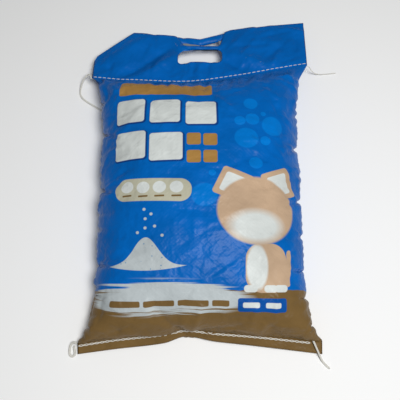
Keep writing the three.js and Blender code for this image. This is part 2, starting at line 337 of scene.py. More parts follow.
@dataclass
class FilledCloth:
    """A tube of cloth that keeps its length while litter presses it out.

    Each step pushes the points along their normals by the litter's pressure, then pulls
    the threads between neighbours back to their woven length, both ways and across both
    diagonals, evens out sharp bends, and keeps the cloth above the floor.
    """

    pattern: Pattern
    litres: float = 6.4
    head: float = 0.0015
    back_tuck: float = 0.13
    front_tuck: float = 0.10
    slump: float = -0.2
    waist: float = 0.03
    shear: float = 0.6
    drag: float = 0.3
    passes: int = 2
    seed: int = 4
    coarse: tuple[int, int] = (51, 76)

    kept_speed = 0.9
    weight = 0.01
    longest_step = 3.0
    pressure_every = 5
    pressure_limits = (0.0, 3.0)
    least_press = -0.03
    first_stage = (1000, 0.6, 0.004)
    fine_stages = ((500, 0.15), (300, 0.04))
    fine_stiffness = 0.003
    quick_steps = 40
    shake = 0.4

    def start(self) -> Array:
        """The flat tube between its seams, parted a little in the middle."""
        rows, columns = self.coarse
        x, side = self.pattern.across(columns)
        t = np.linspace(0, 1, rows)[:, None, None]
        points = self.pattern.bottom_line(x) * (1 - t) + self.pattern.top_line(x) * t
        points[..., 2] += 6 * side * self.pattern.fold(x) * np.sin(np.pi * t[..., 0])
        return points

    def volume(self, x: Array) -> float:
        """Litres inside: each point's height over the floor times its area seen from above."""
        return float((round_normals(x)[..., 2] * x[..., 2]).sum()) * 1e-6

    @staticmethod
    def pull(a: Array, b: Array, length: Array | float, share: float) -> tuple[Array, Array]:
        """Moves two sets of points towards or away from each other.

        Args:
            a: One end of each thread.
            b: The other end.
            length: The threads' own length.
            share: How much of the error is taken out.

        Returns:
            Both sets, each moved by half of that share.
        """
        d = b - a
        far = np.sqrt((d * d).sum(-1, keepdims=True))
        move = d * (0.5 * share * (1 - length / np.maximum(far, 1e-6)))
        return a + move, b - move

    def bind(self, x: Array, hu: Array, hs: Array) -> Array:
        """Pulls every thread once: up the tube, round it, and across both diagonals."""
        rows, columns, _ = x.shape
        spans = [(o, (rows - 1 - o) // 2 * 2) for o in (0, 1)]
        for o, m in spans:
            x[o : o + m : 2], x[o + 1 : o + m + 1 : 2] = self.pull(
                x[o : o + m : 2], x[o + 1 : o + m + 1 : 2], hs, 1.0
            )
        for o in (0, 1):
            y = np.roll(x, -o, 1)
            y[:, 0:columns:2], y[:, 1:columns:2] = self.pull(y[:, 0:columns:2], y[:, 1:columns:2], hu, 1.0)
            x = np.roll(y, o, 1)
        diagonal = np.hypot(hu, hs)
        for o, m in spans:
            a, b = x[o : o + m : 2], x[o + 1 : o + m + 1 : 2]
            for turn in (1, -1):
                a, moved = self.pull(a, np.roll(b, turn, 1), diagonal[o : o + m : 2], self.shear)
                b = np.roll(moved, -turn, 1)
            x[o : o + m : 2], x[o + 1 : o + m + 1 : 2] = a, b
        return x

    @staticmethod
    def ease(x: Array, stiffness: float) -> Array:
        """Evens out bends: takes away stiffness times the fourth difference, both ways."""
        bend = np.roll(x, 1, 1) + np.roll(x, -1, 1) - 2 * x
        x = x - stiffness * (np.roll(bend, 1, 1) + np.roll(bend, -1, 1) - 2 * bend)
        bend = x[2:] + x[:-2] - 2 * x[1:-1]
        change = np.zeros_like(x)
        change[1:-1] -= 2 * bend
        change[2:] += bend
        change[:-2] += bend
        return x - stiffness * change

    def settle(
        self, x: Array, steps: int, push: float, stiffness: float, pressure: float
    ) -> tuple[Array, float]:
        """Runs the steps on one grid.

        Args:
            x: The cloth's points, rows by columns.
            steps: How many steps.
            push: Millimetres that a pressure of 1 moves a point in a step.
            stiffness: How strongly bends are evened out.
            pressure: The litter's pressure to begin with.

        Returns:
            The settled points, and the pressure that holds the litres.
        """
        rows, columns, _ = x.shape
        flat, side = self.pattern.across(columns)
        low, top = self.pattern.bottom_line(flat), self.pattern.top_line(flat)
        low[:, 2] += side * self.pattern.gap
        top[:, 2] += side * self.pattern.gap
        t = np.linspace(0, 1, rows)[:, None, None]
        waist = self.waist * smooth(0.03, 0.18, t) * (1 - smooth(0.2, 0.5, t))
        hu = 2 * self.pattern.width / columns * (1 - waist)
        tuck = np.where(side < 0, self.back_tuck, self.front_tuck) * np.sqrt(np.clip(self.pattern.fold(flat), 0, 1))
        hs = (self.pattern.body / (rows - 1) * (1 - tuck))[None, :, None]
        lean = 1 + self.slump * np.linspace(-1, 1, rows)[:, None, None]
        speed = np.zeros_like(x)
        for step in range(steps):
            if step % self.pressure_every == 0:
                pressure += 0.5 * (self.litres - self.volume(x)) / self.litres
                pressure = float(np.clip(pressure, *self.pressure_limits))
            before = x.copy()
            press = np.maximum(pressure * lean - self.head * x[..., 2:3], self.least_press)
            x = x + self.kept_speed * speed + push * press * unit(round_normals(x))
            x[..., 2] -= self.weight * push
            for _ in range(self.passes):
                x = self.bind(x, hu, hs)
            x = self.ease(x, stiffness)
            under = x[..., 2:3] < 0
            x[..., 2:3] = np.where(under, 0.0, x[..., 2:3])
            held = before[..., :2] * self.drag + x[..., :2] * (1 - self.drag)
            x[..., :2] = np.where(under, held, x[..., :2])
            x[0], x[-1] = low, top
            speed = x - before
            pace = np.maximum(np.linalg.norm(speed, axis=-1, keepdims=True), 1e-9)
            speed *= np.minimum(1, self.longest_step / pace)
        return x, pressure

    @staticmethod
    def refine(x: Array) -> Array:
        """The same cloth on a grid of half the size, with new points midway."""
        rows, columns, _ = x.shape
        y = np.empty((2 * rows - 1, columns, 3))
        y[::2], y[1::2] = x, (x[1:] + x[:-1]) / 2
        z = np.empty((2 * rows - 1, 2 * columns, 3))
        z[:, ::2], z[:, 1::2] = y, (y + np.roll(y, -1, 1)) / 2
        return z

    def fill(self) -> Array:
        """Fills the flat tube and returns its points, rows by columns, in millimetres."""
        rng = np.random.default_rng(self.seed)
        x, pressure = self.settle(self.start(), *self.first_stage, 1.0)
        for steps, push in self.fine_stages:
            x = self.refine(x)
            shake = rng.normal(0, self.shake, x.shape[:2])[1:-1, :, None]
            x[1:-1] += unit(round_normals(x))[1:-1] * shake
            x, pressure = self.settle(x, steps, push, self.fine_stiffness, pressure)
        log.info("litter: %.2f litres, %.1f mm high", self.volume(x), x[..., 2].max())
        return x


# ---------------------------------------------------------------------------
# Creases
# ---------------------------------------------------------------------------


@dataclass(frozen=True)
class Crease:
    """A sharp fold line pressed into the laminate, in the cloth's own millimetres."""

    start: Place
    end: Place
    width: float
    height: float

    def lift(self, x: Array, y: Array) -> Array:
        """How far the cloth stands off at points (x, y).

        The height falls off as exp(-distance / width) from the line between the ends,
        rounded within half a width of it, and fades towards both ends.
        """
        ax, ay = self.start
        dx, dy = self.end[0] - ax, self.end[1] - ay
        along = np.clip(((x - ax) * dx + (y - ay) * dy) / (dx * dx + dy * dy), 0, 1)
        away = np.hypot(x - ax - along * dx, y - ay - along * dy)
        soft = np.sqrt(away**2 + (0.4 * self.width) ** 2) - 0.4 * self.width
        return self.height * np.exp(-soft / self.width) * np.sqrt(np.clip(4 * along * (1 - along), 0, 1))


def crumple(
    rng: np.random.Generator,
    count: int,
    low: Place,
    high: Place,
    long: float,
    height: float,
    lean: float,
) -> list[Crease]:
    """Small creases strewn over a rectangle of cloth.

    Args:
        rng: The seeded source of their places.
        count: How many.
        low: The rectangle's lowest corner.
        high: Its highest corner.
        long: Their mean length.
        height: Their largest height or depth.
        lean: The angle about which they lie, in radians from across the sack.

    Returns:
        The creases.
    """
    made = []
    for _ in range(count):
        x, y = rng.uniform(low[0], high[0]), rng.uniform(low[1], high[1])
        angle, half = lean + rng.normal(0, 0.45), long * rng.uniform(0.5, 1.5) / 2
        dx, dy = half * math.cos(angle), half * math.sin(angle)
        width, lift = rng.uniform(2.0, 4.5), height * rng.uniform(-1, 1)
        made.append(Crease((x - dx, y - dy), (x + dx, y + dy), width, lift))
    return made


# ---------------------------------------------------------------------------
# The sack
# ---------------------------------------------------------------------------


@dataclass
class LooseCloth:
    """The plies outside the seams: the carrying band above and the hem below."""

    pattern: Pattern

    folds = (
        Crease((-118, 130), (-34, 194), 7.0, -6.0),
        Crease((-92, 132), (-30, 176), 7.0, 5.0),
        Crease((-140, 160), (-70, 210), 9.0, 3.5),
        Crease((40, 186), (80, 226), 6.5, 4.0),
        Crease((30, 170), (72, 138), 6.5, -4.5),
        Crease((36, 178), (110, 150), 8.0, 3.5),
        Crease((40, 172), (136, 204), 14.0, 2.0),
        Crease((90, 152), (142, 176), 9.0, -1.4),
        Crease((139, 160), (140, 232), 2.5, 1.0),
        Crease((-22, 124), (-19, 160), 3.0, 1.8),
        Crease((-12, 124), (-10, 162), 3.0, -1.8),
        Crease((-1, 126), (-1, 162), 3.2, 2.0),
        Crease((11, 127), (9, 163), 3.2, -2.0),
        Crease((21, 129), (19, 162), 3.0, 1.6),
    )

    front_mouth = (-36, -14, 25, 36)
    back_mouth = (-44, -30, 32, 46)
    see_through = (-6, 4, 25, 33)
    front_strap = (3.3, 3.4, 4.2)
    back_strap = (5.0, 5.2, 2.6)
    back_sag = 2.9
    back_rolled = 14
    wrap = 270

    @staticmethod
    def window(x: Array, start: float, full: float, fade: float, end: float) -> Array:
        """1 from full to fade, falling smoothly to 0 at start and at end."""
        return smooth(start, full, x) * (1 - smooth(fade, end, x))

    def crumpled(self, x: Array, y: Array) -> Array:
        """How far the folds and small creases lift both plies of the band."""
        rng = np.random.default_rng(8)
        small = [
            *crumple(rng, 36, (-145, 135), (145, 225), 50, 2.4, 0.9),
            *crumple(rng, 26, (-145, 128), (145, 165), 34, 1.8, math.pi / 2),
            *crumple(rng, 14, (60, 150), (145, 230), 60, 2.2, 0.25),
        ]
        return sum(crease.lift(x, y) for crease in [*self.folds, *small])

    def apart(self, x: Array, side: Array) -> Array:
        """How far a ply stands off the mid-plane: the gap, drawn to nothing at the creases."""
        return side * self.pattern.gap * (1 - np.abs(2 * x / self.pattern.width) ** 8)

    def hem(self, x: Array, t: Array, side: Array) -> Array:
        """Points of the hem's plies, at x, t of the way up from the cut edge to the seam."""
        t = np.asarray(t)[..., None]
        points = self.pattern.hem_line(x) * (1 - t) + self.pattern.bottom_line(x) * t
        points[..., 2] += self.apart(x, side)
        return points

    def band(self, x: Array, t: Array, side: Array) -> Array:
        """Points of the band's plies, at x, t of the way up from the seam to the top edge.

        Straight lines run from the seam to the edge. The folds lift both plies alike.
        Above the handle hole each ply is rolled into a strap: a stretch of an ellipse that
        takes up the cloth's width, blended in across the mouth. The back strap lies lower,
        and where the mouth can be seen through it takes up its ply down to the hole.

        Args:
            x: Across the sack.
            t: Up the band, 0 to 1.
            side: 1 for the front ply and -1 for the back one.

        Returns:
            The points.
        """
        t = np.asarray(t, float)
        points = self.pattern.top_line(x) * (1 - t[..., None]) + self.pattern.band_line(x) * t[..., None]
        y = points[..., 1].copy()
        edge = self.pattern.band_line(x)[..., 1]
        lift = self.crumpled(x, y) * smooth(0, 0.2, t)
        points[..., 2] += self.apart(x, side) * (1 + 1.6 * np.sin(np.pi * t)) + lift
        top = self.pattern.hole_centre[1] + self.pattern.hole_height / 2
        share = np.clip((y - top) / np.maximum(edge - top, 1), 0, 1)
        level = points[..., 2].copy()

        front = self.window(x, *self.front_mouth) * (side > 0)
        angle = np.radians(190 - self.wrap * share)
        in_by, half_deep, half_high = self.front_strap
        strap = np.stack([x, top + in_by + half_deep * np.cos(angle), level + half_high * np.sin(angle)], -1)
        points = points + (strap - points) * (front * (y > top))[..., None]

        back = self.window(x, *self.back_mouth) * (side < 0)
        low = edge - self.back_rolled
        start = low - (low - top) * self.window(x, *self.see_through)
        angle = np.radians(-100 + self.wrap * np.clip((y - start) / (edge - start), 0, 1))
        in_by, half_deep, half_high = self.back_strap
        level = level - self.back_sag
        strap = np.stack([x, edge - in_by + half_deep * np.cos(angle), level + half_high * np.sin(angle)], -1)
        return points + (strap - points) * (back * smooth(start - 10, start, y))[..., None]


@dataclass
class Sack:
    """The sewn tube: filled body, hem and band as one closed skin of cloth."""

    pattern: Pattern
    loose: LooseCloth
    hem_rows: int = 6
    band_rows: int = 32
    seed: int = 11

    creases = (
        Crease((58, 218), (138, 228), 5.0, -2.4),
        Crease((70, 240), (140, 246), 6.0, 1.8),
        Crease((-140, 128), (-64, 138), 6.0, -2.2),
        Crease((-120, 60), (-60, 76), 7.0, 1.8),
        Crease((-22, 2), (-52, 68), 6.0, -4.2),
        Crease((-16, 2), (6, 76), 6.0, 3.6),
        Crease((-20, 2), (50, 34), 6.0, -3.8),
        Crease((-24, 2), (-96, 30), 6.0, 3.0),
        Crease((96, 10), (70, 58), 7.0, -2.0),
        Crease((-104, 8), (-84, 50), 6.0, 1.8),
    )

    def hole_depth(self, x: Array, y: Array) -> Array:
        """Signed distance to the handle hole's edge, below 0 inside it.

        It is the distance to a rectangle with round corners whose left end droops as the
        square of the distance from where it starts to.
        """
        p = self.pattern
        px = x - p.hole_centre[0]
        py = y - p.hole_centre[1] + 5.0 * np.clip((-px - 6) / 25, 0, 1) ** 2
        qx = np.abs(px) - p.hole_width / 2 + p.hole_radius
        qy = np.abs(py) - p.hole_height / 2 + p.hole_radius
        outside = np.hypot(np.maximum(qx, 0), np.maximum(qy, 0))
        return outside + np.minimum(np.maximum(qx, qy), 0) - p.hole_radius

    def relief(self, x: Array, s: Array, side: Array) -> Array:
        """How far the filled cloth stands off its simulated place.

        Named creases lie on the front. Small ones are strewn over both faces, closer at
        the sides. Beside each seam the stitches gather the cloth into short ripples, a
        cosine across the sack that dies away up the cloth.
        """
        rng = np.random.default_rng(self.seed)
        half, body = self.pattern.width / 2, self.pattern.body
        across = [
            *crumple(rng, 55, (-half, 0), (-half * 0.62, body), 40, 2.0, 0.15),
            *crumple(rng, 55, (half * 0.62, 0), (half, body), 40, 2.0, -0.15),
            *crumple(rng, 110, (-half, 0), (half, body), 50, 1.4, 0.4),
            *crumple(rng, 40, (-half, body - 70), (half, body - 6), 44, 2.6, math.pi / 2),
            *crumple(rng, 40, (-half, 6), (half, 70), 42, 2.2, math.pi / 2),
        ]
        lift = sum(crease.lift(x, s) for crease in across)
        lift = lift + sum(crease.lift(x, s) for crease in self.creases) * (side > 0)
        ripple = np.cos(2 * np.pi * x / 9.5 + 1.3 * np.sin(x / 17))
        lift += 0.35 * ripple * (np.exp(-(body - s) / 9) + np.exp(-s / 9))
        return lift * smooth(0, 5, s) * smooth(0, 5, body - s)

    def snapped(self, x: Array, y: Array, steps: int = 4) -> tuple[Array, Array]:
        """Points moved to the handle hole's edge, down the slope of its distance."""
        for _ in range(steps):
            d = self.hole_depth(x, y)
            gx = (self.hole_depth(x + 0.05, y) - self.hole_depth(x - 0.05, y)) / 0.1
            gy = (self.hole_depth(x, y + 0.05) - self.hole_depth(x, y - 0.05)) / 0.1
            slope = np.maximum(gx * gx + gy * gy, 1e-6)
            x, y = x - d * gx / slope, y - d * gy / slope
        return x, y

    def band_grid(self, flat: Array) -> tuple[Array, Array, Array]:
        """The band's grid, with the corners beside the handle hole moved to its edge.

        Args:
            flat: Each column's x on the flat sack.

        Returns:
            Each corner's x and its share of the way up the band, and the cells cut out.
        """
        pattern = self.pattern
        share = np.arange(1, self.band_rows + 1) / self.band_rows
        t = np.broadcast_to(share[:, None], (self.band_rows, len(flat))).copy()
        x = np.broadcast_to(flat[None], t.shape).copy()
        low, edge = pattern.top_line(flat)[:, 1], pattern.band_line(flat)[:, 1]
        y = low + t * (edge - low)

        depth = self.hole_depth(x, y)
        cells = (depth[:-1] + depth[1:]) / 2
        cut = (cells + np.roll(cells, -1, 1)) / 2 < 0
        uses_cut, uses_kept = np.zeros(t.shape, bool), np.zeros(t.shape, bool)
        for flags, used in ((cut, uses_cut), (~cut, uses_kept)):
            for rows in (slice(0, -1), slice(1, None)):
                used[rows] |= flags | np.roll(flags, 1, 1)
        on_edge = uses_cut & uses_kept
        x[on_edge], y[on_edge] = self.snapped(x[on_edge], y[on_edge])
        low, edge = pattern.top_line(x)[..., 1], pattern.band_line(x)[..., 1]
        return x, (y - low) / (edge - low), cut

    def skins(self, rows: int, columns: int, first_band: int, cut: Array) -> tuple[Array, Array]:
        """The faces of the outer and inner skins, the rims and the closing strips.

        Args:
            rows: Rows of the whole grid.
            columns: Columns of it.
            first_band: The row at the top seam.
            cut: The band's cells that the handle hole takes away.

        Returns:
            The printed faces and the bare ones.
        """
        skin = rows * columns
        corners = ((0, 0), (0, 1), (1, 1), (1, 0))

        def quads(r: Array, k: Array) -> Array:
            """The four corners of the outer skin's cells at rows r and columns k."""
            return np.stack([(r + up) * columns + (k + over) % columns for up, over in corners], -1)

        def rims(cells: Array, a: int, b: int) -> Array:
            """Faces from the outer skin to the inner one along the cells' edge a to b."""
            return np.stack([cells[:, b], cells[:, a], cells[:, a] + skin, cells[:, b] + skin], -1)

        hole = np.zeros((rows - 1, columns), bool)
        hole[first_band + 1 :] = cut
        r, k = np.nonzero(~hole)
        cells = quads(r, k)
        loose = (r < self.hem_rows) | (r >= first_band)
        printed = [cells]
        for shift, axis, a, b in ((-1, 0, 2, 3), (1, 0, 0, 1), (-1, 1, 1, 2), (1, 1, 3, 0)):
            beside = ~hole & np.roll(hole, shift, axis)
            printed.append(rims(quads(*np.nonzero(beside)), a, b))
        every = np.arange(columns)
        printed.append(rims(quads(np.full(columns, rows - 2), every), 2, 3))
        printed.append(rims(quads(np.zeros(columns, int), every), 0, 1))

        k = np.arange(columns // 2 - 1)
        strip = np.stack([k, k + 1, columns - 2 - k, columns - 1 - k], -1) + skin
        band_floor = strip + first_band * columns
        hem_roof = strip[:, ::-1] + self.hem_rows * columns
        inside = (cells[loose] + skin)[:, ::-1]
        return np.concatenate(printed), np.concatenate([inside, band_floor, hem_roof])

    def make(self, filled: Array) -> bpy.types.Object:
        """Builds the skin.

        The middle of the cloth is one grid, rows from the hem's cut edge to the band's and
        columns round the tube. The outer skin is half a ply outside it. Where the plies
        are loose an inner skin lies half a ply inside it, and rims join the two at the cut
        edges and round the handle hole. A strip closes each pocket at its seam.

        Args:
            filled: The simulated body, rows by columns.

        Returns:
            The sack's object.
        """
        pattern = self.pattern
        columns = filled.shape[1]
        flat, side = pattern.across(columns)
        body_s = np.linspace(0, pattern.body, filled.shape[0])
        lift = self.relief(*np.broadcast_arrays(flat[None], body_s[:, None], side[None]))
        filled = filled + unit(round_normals(filled)) * lift[..., None]
        filled[..., 2] = np.maximum(filled[..., 2], pattern.ply / 2)
        hem_t = np.arange(self.hem_rows) / self.hem_rows
        hem = self.loose.hem(flat[None], hem_t[:, None], side[None])
        band_x, band_t, cut = self.band_grid(flat)
        band = self.loose.band(band_x, band_t, np.broadcast_to(side[None], band_t.shape))

        middle = np.concatenate([hem, filled, band])
        offset = unit(round_normals(middle)) * pattern.ply / 2
        outer, inner = middle + offset, middle - offset
        outer[..., 2] = np.maximum(outer[..., 2], 0.0)
        points = np.concatenate([outer.reshape(-1, 3), inner.reshape(-1, 3)])
        below = self.hem_rows + len(filled)
        printed, bare = self.skins(len(middle), columns, below - 1, cut)
        faces = np.concatenate([printed, bare])
        made = mesh_object("sack_cloth", points, faces)
        slots = np.concatenate([np.zeros(len(printed), np.int32), np.ones(len(bare), np.int32)])
        made.data.polygons.foreach_set("material_index", slots)

        x = np.concatenate([np.broadcast_to(flat, (below, columns)), band_x])
        u = np.where(side >= 0, x + pattern.width / 2, 1.5 * pattern.width - x)
        rows_s = np.concatenate([(hem_t - 1) * pattern.hem, body_s])
        s = np.concatenate([
            np.broadcast_to(rows_s[:, None], (below, columns)),
            pattern.body + band_t * pattern.band,
        ])
        u, s = np.tile(u.ravel(), 2)[faces], np.tile(s.ravel(), 2)[faces]
        past_the_start = (u.max(1, keepdims=True) - u) > pattern.width
        map_cloth(made, np.where(past_the_start, u + 2 * pattern.width, u), s)
        log.info("sack: %d points, %d faces", len(points), len(faces))
        return made


@dataclass(frozen=True)
class FoldedCorner:
    """The band's left corner: both plies turned under the back one about the slanting edge."""

    loose: LooseCloth
    thick: float = 1.4
    drop: float = 4.5
    cells: int = 18

    ends = ((-145.5, 178.2), (-95.5, 215.2))
    tip = (-112.0, 168.0)

    def make(self) -> bpy.types.Object:
        """Builds the flap.

        Rows run from the fold to a blunt tip. The flap follows the back ply, hangs lower
        towards its tip, and is closed by rims between its upper and lower skins.
        """
        n = self.cells
        pattern = self.loose.pattern
        t, a = np.meshgrid(np.linspace(0, 0.95, n + 1), np.linspace(0, 1, n + 1), indexing="ij")
        (ax, ay), (bx, by) = self.ends
        x = (ax + a * (bx - ax)) * (1 - t) + self.tip[0] * t
        y = (ay + a * (by - ay)) * (1 - t) + self.tip[1] * t
        low, edge = pattern.top_line(x)[..., 1], pattern.band_line(x)[..., 1]
        share = (y - low) / (edge - low)
        upper = self.loose.band(x, share, np.full_like(x, -1.0))
        upper[..., 2] -= pattern.ply / 2 + 0.1 + self.drop * t**1.5
        lower = upper.copy()
        lower[..., 2] -= self.thick * (0.35 + 0.65 * np.sqrt(np.clip(4 * t, 0, 1)))
        points = np.concatenate([upper.reshape(-1, 3), lower.reshape(-1, 3)])

        r, k = (grid.ravel() for grid in np.meshgrid(np.arange(n), np.arange(n), indexing="ij"))
        first = r * (n + 1) + k
        top = np.stack([first, first + n + 1, first + n + 2, first + 1], -1)
        skin = (n + 1) ** 2
        line = np.arange(n + 1)
        border = np.concatenate([
            line,
            (line[1:] + 1) * (n + 1) - 1,
            skin - 2 - line[:-1],
            (n - line[1:-1]) * (n + 1),
        ])
        after = np.roll(border, -1)
        rim = np.stack([border, after, after + skin, border + skin], -1)
        faces = np.concatenate([top, top[:, ::-1] + skin, rim])
        made = mesh_object("folded_corner", points, faces)
        u, s = x + pattern.width / 2, pattern.body + share * pattern.band
        map_cloth(made, np.tile(u.ravel(), 2)[faces], np.tile(s.ravel(), 2)[faces])
        log.info("folded corner: %d faces", len(faces))
        return made


# ---------------------------------------------------------------------------
# The sewing
# ---------------------------------------------------------------------------


@dataclass(frozen=True)
class StitchRow:
    """One face of a chain-stitched seam: short needle stitches, or the looper's chain."""

    node: str
    place: str
    t: float
    side: int
    chain: bool
    start: float = -149.0
    end: float = 149.0
    pitch: float = 6.4
    thread: float = 1.0

    def line(self, loose: LooseCloth, x: Array) -> Array:
        """Points of the cloth under the row, at x."""
        side = np.full_like(x, self.side)
        cloth = loose.band if self.place == "band" else loose.hem
        return cloth(x, np.full_like(x, self.t), side)

    def make(self, loose: LooseCloth) -> bpy.types.Object:
        """Builds the row on that cloth.

        A needle stitch is a short arch: the thread's height over the cloth is the upper
        part of a sine. The chain is two threads whose distance from the seam's line is the
        square of a sine, so that they part in each loop and meet at each needle hole.
        """
        count = int((self.end - self.start) / self.pitch)
        step = (self.end - self.start) / count
        out = np.array([0.0, 0.0, self.side])
        surface = loose.pattern.ply / 2
        parts = []
        if self.chain:
            x = np.linspace(self.start, self.end, count * 12 + 1)
            path = self.line(loose, x)
            beside = unit(np.cross(np.gradient(path, axis=0), out))
            phase = (x - self.start) / step
            for way in (1, -1):
                open_loop = 0.28 + 0.62 * np.sin(np.pi * phase) ** 2
                rise = surface + self.thread * (0.42 + 0.14 * way * np.cos(np.pi * phase))
                strand = path + beside * (way * open_loop)[:, None] + out * rise[:, None]
                parts.append(tube(strand, np.full(len(x), self.thread / 2), 8, out))
        else:
            for number in range(count):
                x = np.linspace(0.13, 0.87, 8) * step + self.start + number * step
                arch = np.sin(np.pi * np.linspace(0.04, 0.96, 8))
                rise = surface + self.thread * (0.75 * arch - 0.55)
                path = self.line(loose, x) + out * rise[:, None]
                parts.append(tube(path, np.full(len(x), self.thread / 2), 6, out))
        made = mesh_object(self.node + "_stitches", *joined(parts))
        log.info("%s: %d stitches", self.node, count)
        return made


@dataclass(frozen=True)
class Tail:
    """A loose end of the seam's thread chain, a plait of three strands."""

    node: str
    diameter: float
    route: list[tuple[float, float, float]]
    lay: float = 5.2
    step: float = 0.35

    def centre_line(self) -> Array:
        """Points along the route, evenly spaced.

        Between two of its points the curve is the cubic with slopes along the chords
        between their neighbours, for steps of the square root of the distance.
        """
        p = np.asarray(self.route, float)
        knots = np.concatenate([[0], np.cumsum(np.linalg.norm(np.diff(p, axis=0), axis=1) ** 0.5)])
        fine = np.linspace(0, knots[-1], 40 * len(p))
        line = np.stack([curve_at(list(zip(knots, p[:, axis])), fine) for axis in range(3)], -1)
        run = np.concatenate([[0], np.cumsum(np.linalg.norm(np.diff(line, axis=0), axis=1))])
        even = np.linspace(0, run[-1], int(run[-1] / self.step) + 1)
        return np.stack([np.interp(even, run, line[:, axis]) for axis in range(3)], -1)

    def make(self) -> bpy.types.Object:
        """Each strand swings from side to side as a sine of the distance and up and down as
        a sine of twice that, a third of a turn behind the strand before it.
        """
        line = self.centre_line()
        tangent = unit(np.gradient(line, axis=0))
        up = np.array([0.0, 0.0, 1.0])
        beside = unit(np.cross(tangent, up))
        above = np.cross(beside, tangent)
        run = np.linspace(0, len(line) * self.step, len(line))
        parts = []
        for strand in range(3):
            phase = 2 * np.pi * (run / self.lay + strand / 3)
            swing = 0.29 * self.diameter * np.sin(phase)
            bob = 0.13 * self.diameter * np.sin(2 * phase)
            path = line + beside * swing[:, None] + above * bob[:, None]
            radius = np.full(len(line), 0.205 * self.diameter)
            radius[-6:] *= np.linspace(1, 0.55, 6)
            parts.append(tube(path, radius, 7, up))
        made = mesh_object(self.node + "_plait", *joined(parts))
        return made


ROWS = [
    StitchRow("top_needle_thread", "band", 0.045, 1, False),
    StitchRow("top_looper_thread", "band", 0.045, -1, True),
    StitchRow("bottom_looper_thread", "hem", 0.76, 1, True, end=135.0),
    StitchRow("bottom_needle_thread", "hem", 0.76, -1, False, end=135.0),
]

TAILS = [
    Tail("top_left_tail", 2.6, [
        (-151.5, 139.5, 22), (-153, 144, 21.5), (-155.5, 148, 19.5), (-159, 149, 16), (-163, 147, 12),
        (-166.5, 143, 8), (-168.8, 138, 4.5), (-170, 132, 2.2), (-169.5, 126, 1.6), (-166.5, 120.5, 1.5),
        (-161.5, 116, 1.5), (-155, 111.5, 1.5), (-148, 107, 1.5), (-141, 102.5, 1.5), (-134, 99, 1.5),
        (-127.5, 97, 1.5),
    ]),
    Tail("top_right_tail", 1.6, [
        (151.5, 159.3, 23), (153.5, 158.8, 21.5), (155.5, 158.2, 18.5), (157.5, 157.8, 14.5), (160, 157.6, 10.5),
        (163, 157.8, 7), (166.5, 158.3, 4), (170.5, 158.8, 2), (175, 159.2, 1.3), (180, 159.5, 1.2),
        (185, 160, 1.2), (190, 160.6, 1.2), (195, 161.2, 1.2),
    ]),
    Tail("bottom_left_tail", 3.2, [
        (-151.6, -222.6, 7.5), (-153.2, -221.6, 6.8), (-155.6, -221.2, 5.4), (-158, -222.4, 4),
        (-159.6, -224.8, 3), (-160.3, -227.8, 2.3), (-160.5, -231, 2), (-160.2, -234.2, 1.9),
        (-158.8, -236.8, 1.9), (-156.4, -237.6, 1.9), (-154.4, -236.2, 1.9), (-153.8, -233.4, 1.9),
        (-154.4, -230.4, 1.9), (-155.2, -227.4, 1.9), (-155, -224.6, 1.9),
    ]),
    Tail("bottom_right_tail", 2.6, [
        (137.2, -218.6, 13), (138.4, -220.6, 13.2), (139.6, -223, 12.6), (141, -226, 11.4), (142.6, -229.2, 9.8),
        (144.2, -232.4, 8.2), (145.8, -235.6, 6.4), (147.4, -238.8, 4.6), (149, -241.8, 3), (151, -244.6, 1.9),
        (153.4, -247.2, 1.5), (156, -249.8, 1.4), (158.6, -252.2, 1.4),
    ]),
]


# ---------------------------------------------------------------------------
# Finishes
# ---------------------------------------------------------------------------


class Ink(Enum):
    """The printing inks, and the bare tape's grey, as sRGB colours. That grey is darker than the pale tape and
    holds painted shade.
    """

    BLUE = "0062b6"
    NAVY = "0b3f83"
    TAN = "755c36"
    WHITE = "d2d7d4"
    GOLD = "a87f44"
    CREAM = "b9b7a2"
    GREY = "b8c0c2"
    SPECK = "6f93b3"
    FUR = "bea286"
    BUBBLE = "0078cf"
    PLACARD = "0b4f9e"
    # The bare inside tape: its own pale colour darkened to the grey of the shaded mouth, so partly painted shade.
    BARE_WITH_PAINTED_SHADE = "8f9296"


